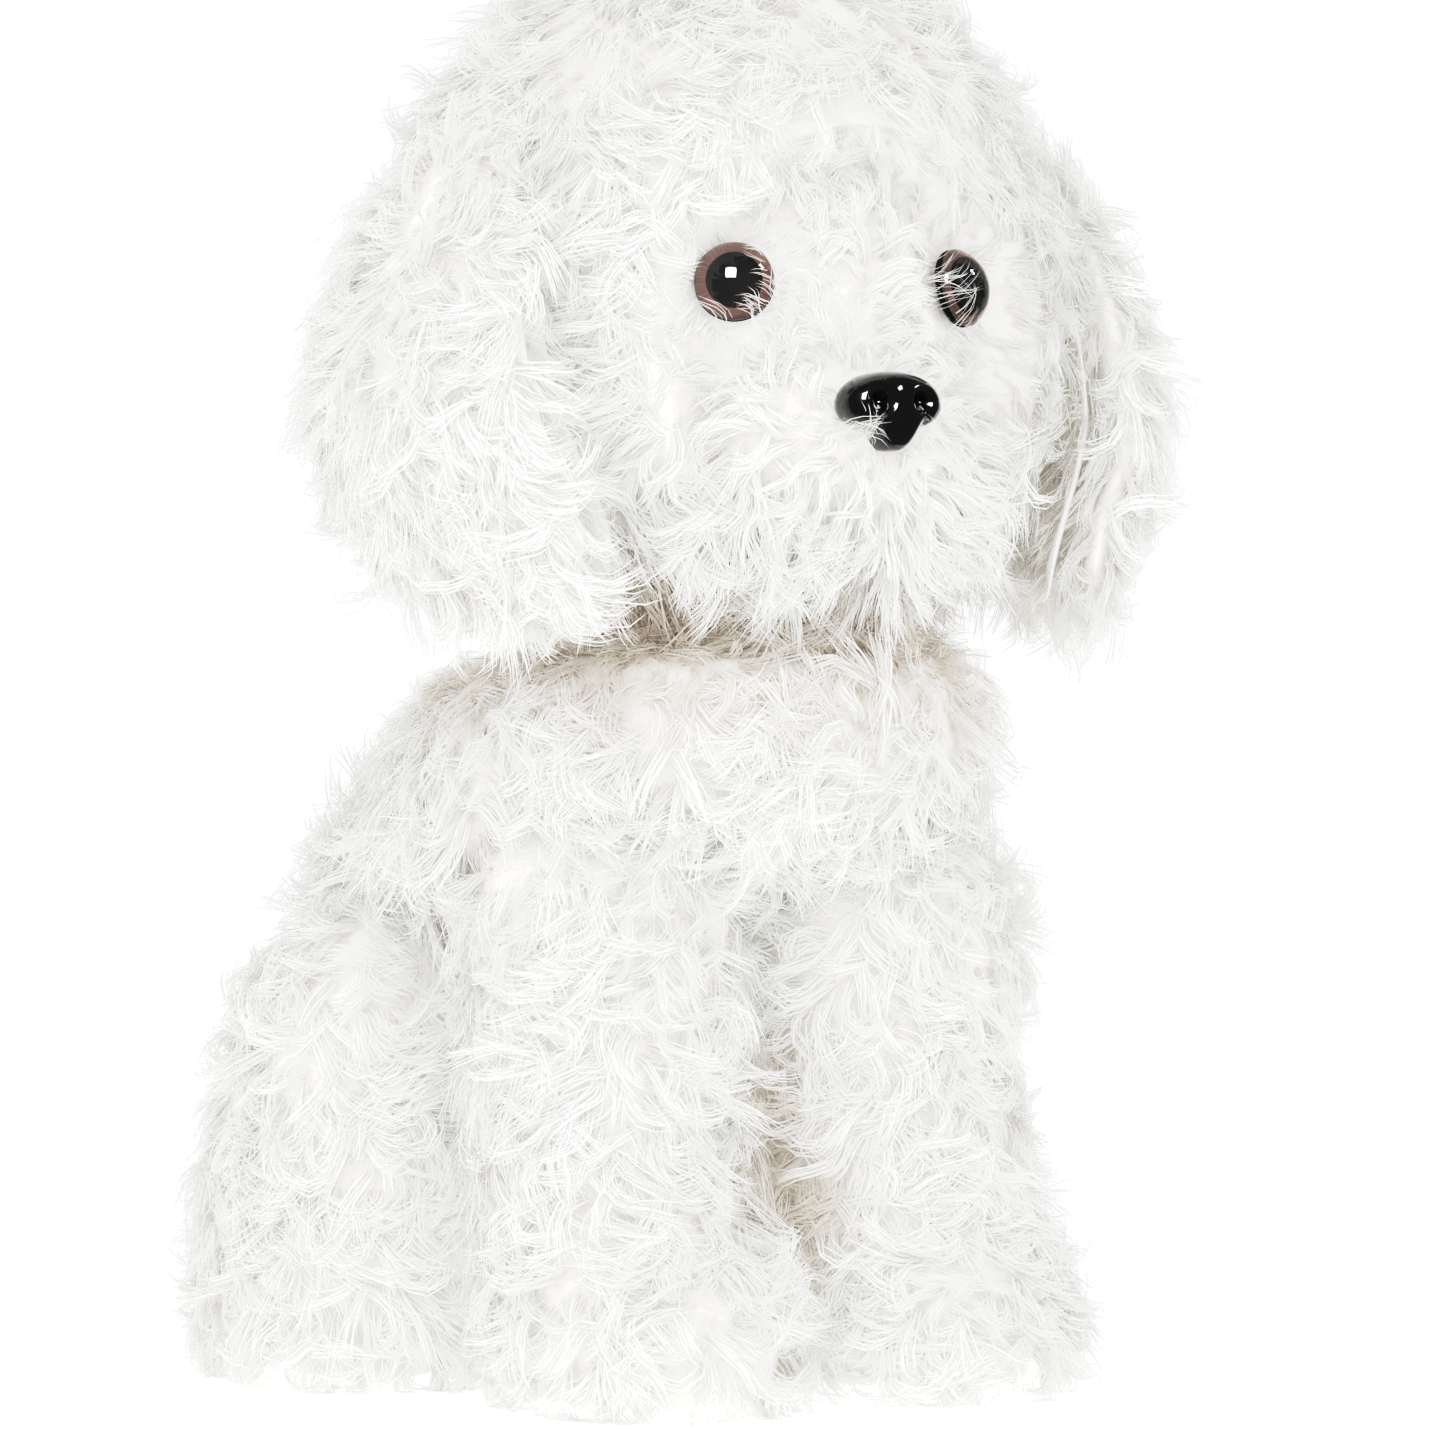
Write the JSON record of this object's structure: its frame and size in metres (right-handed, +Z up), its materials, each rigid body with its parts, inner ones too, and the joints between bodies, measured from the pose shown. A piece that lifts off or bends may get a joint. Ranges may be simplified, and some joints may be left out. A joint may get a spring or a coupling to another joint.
{
  "type": "plush dog",
  "caption": "Sitting white plush dog with long curly pile, drop ears, dark button eyes, a moulded black nose and a short tail.",
  "frame": {"origin": "middle of the box round the whole toy, on the surface that it sits on", "axes": "+Z up, -Y the way the dog faces, +X towards its left side"},
  "size_m": [0.1646, 0.1808, 0.263],
  "materials": {
    "white_pile": "long curly white pile",
    "short_pile": "short white pile",
    "filling": "white polyester fibre",
    "pellet_cloth": "plain woven bag cloth",
    "thread": "twisted sewing thread",
    "nose_plastic": "glossy moulded black",
    "black_plastic": "glossy black",
    "brown_paint": "reddish brown paint behind the clear dome",
    "clear_plastic": "clear polished dome",
    "washer_plastic": "natural white plastic"
  },
  "bodies": {
    "body": {"body_cover": "white_pile", "base_panel": "short_pile", "body_stuffing": "filling", "seat_pellet_bag": "pellet_cloth", "front_leg_right_cover": "white_pile", "front_leg_right_stuffing": "filling", "front_leg_left_cover": "white_pile", "front_leg_left_stuffing": "filling", "hind_leg_right_cover": "white_pile", "hind_leg_right_stuffing": "filling", "hind_leg_left_cover": "white_pile", "hind_leg_left_stuffing": "filling"},
    "neck": {"neck_stuffing": "filling", "neck_seam_thread": "thread"},
    "head": {"head_cover": "white_pile", "head_stuffing": "filling", "face_cover": "short_pile", "muzzle_cover": "short_pile", "nose": "nose_plastic", "nose_washer": "washer_plastic", "eye_right_lens": "clear_plastic", "eye_right_iris": "brown_paint", "eye_right_pupil": "black_plastic", "eye_right_back": "black_plastic", "eye_right_washer": "washer_plastic", "eye_left_lens": "clear_plastic", "eye_left_iris": "brown_paint", "eye_left_pupil": "black_plastic", "eye_left_back": "black_plastic", "eye_left_washer": "washer_plastic"},
    "ear_right": {"ear_right_pile": "white_pile", "ear_right_lining": "short_pile"},
    "ear_left": {"ear_left_pile": "white_pile", "ear_left_lining": "short_pile"},
    "tail": {"tail_cover": "white_pile", "tail_stuffing": "filling"}
  },
  "joints": [
    {"name": "head_turn", "type": "hinge", "parent": "body", "child": "neck", "pos_m": [0, -0.03343, 0.141], "axis": [0, 0, 1], "range_deg": [-25, 25], "stiffness_Nm_per_rad": 1},
    {"name": "head_nod", "type": "hinge", "parent": "neck", "child": "head", "pos_m": [0, -0.03343, 0.141], "axis": [1, 0, 0], "range_deg": [-12, 12], "stiffness_Nm_per_rad": 1},
    {"name": "ear_right_lift", "type": "hinge", "parent": "head", "child": "ear_right", "pos_m": [-0.0495, -0.03543, 0.237], "axis": [0, 1, 0], "range_deg": [0, 95]},
    {"name": "ear_left_lift", "type": "hinge", "parent": "head", "child": "ear_left", "pos_m": [0.0495, -0.03543, 0.237], "axis": [0, -1, 0], "range_deg": [0, 95]},
    {"name": "tail_wag", "type": "hinge", "parent": "body", "child": "tail", "pos_m": [0, 0.06227, 0.046], "axis": [0, 0, 1], "range_deg": [-25, 25], "stiffness_Nm_per_rad": 0.05}
  ]
}
